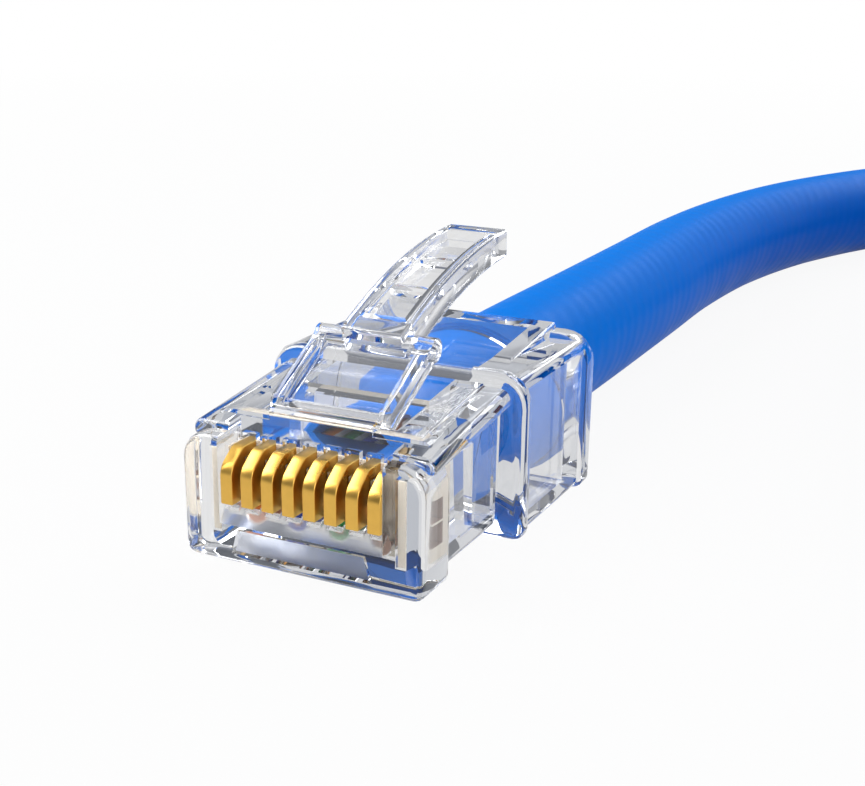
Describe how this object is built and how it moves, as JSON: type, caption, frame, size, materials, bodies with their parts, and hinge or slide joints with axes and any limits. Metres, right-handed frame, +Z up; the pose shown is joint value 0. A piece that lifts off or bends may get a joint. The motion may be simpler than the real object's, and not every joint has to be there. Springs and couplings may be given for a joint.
{
  "type": "ethernet patch cable",
  "caption": "Patch cable with clear modular plugs, gold contacts, colour-coded wires, sprung latch levers and a round blue jacket, its spare length coiled and tied.",
  "frame": {"origin": "on the supporting surface, under the middle of the near plug with its latch", "axes": "+Z up; the near plug's nose points along -Y and its cable leaves along +Y; X runs across the contacts"},
  "size_m": [0.1166, 0.11, 0.0278],
  "materials": {
    "clear_plastic": "clear polycarbonate, glossy",
    "clear_latch": "clear polycarbonate, slightly frosted",
    "clear_tongue": "clear polycarbonate",
    "load_bar": "cream, semi-matte",
    "blue_jacket": "azure PVC, soft sheen",
    "gold": "gold plating, satin",
    "copper": "bare copper",
    "white_orange_wire": "white with an orange stripe",
    "orange_wire": "smooth",
    "white_green_wire": "white with a green stripe",
    "blue_wire": "smooth",
    "white_blue_wire": "white with a blue stripe",
    "green_wire": "smooth",
    "white_brown_wire": "white with a brown stripe",
    "brown_wire": "smooth",
    "wire_colours": "eight wire colours in a row",
    "tie_fabric": "black hook-and-loop tape"
  },
  "bodies": {
    "cable": {"near_housing": "clear_plastic", "near_load_bar": "load_bar", "near_strain_relief": "clear_tongue", "near_jacket": "blue_jacket", "near_contact_1": "gold", "near_contact_2": "gold", "near_contact_3": "gold", "near_contact_4": "gold", "near_contact_5": "gold", "near_contact_6": "gold", "near_contact_7": "gold", "near_contact_8": "gold", "near_wire_1_white_orange": "white_orange_wire", "near_wire_2_orange": "orange_wire", "near_wire_3_white_green": "white_green_wire", "near_wire_4_blue": "blue_wire", "near_wire_5_white_blue": "white_blue_wire", "near_wire_6_green": "green_wire", "near_wire_7_white_brown": "white_brown_wire", "near_wire_8_brown": "brown_wire", "near_core_1": "copper", "near_core_2": "copper", "near_core_3": "copper", "near_core_4": "copper", "near_core_5": "copper", "near_core_6": "copper", "near_core_7": "copper", "near_core_8": "copper", "cord_lead": "blue_jacket", "cord_coil": "blue_jacket", "cord_tail": "blue_jacket", "cable_tie": "tie_fabric", "far_housing": "clear_plastic", "far_load_bar": "load_bar", "far_strain_relief": "clear_tongue", "far_jacket": "blue_jacket", "far_contacts": "gold", "far_wires": "wire_colours", "far_cores": "copper"},
    "near_latch": {"near_latch": "clear_latch"},
    "far_latch": {"far_latch": "clear_latch"}
  },
  "joints": [
    {"name": "near_latch_hinge", "type": "hinge", "parent": "cable", "child": "near_latch", "pos_m": [0, -0.00583, 0.0069], "axis": [-1, 0, 0], "range_deg": [0, 8], "stiffness_Nm_per_rad": 0.05},
    {"name": "far_latch_hinge", "type": "hinge", "parent": "cable", "child": "far_latch", "pos_m": [0.08803, 0.08257, 0.02225], "axis": [-0.342, -0.9397, 0], "range_deg": [0, 8], "stiffness_Nm_per_rad": 0.05}
  ]
}
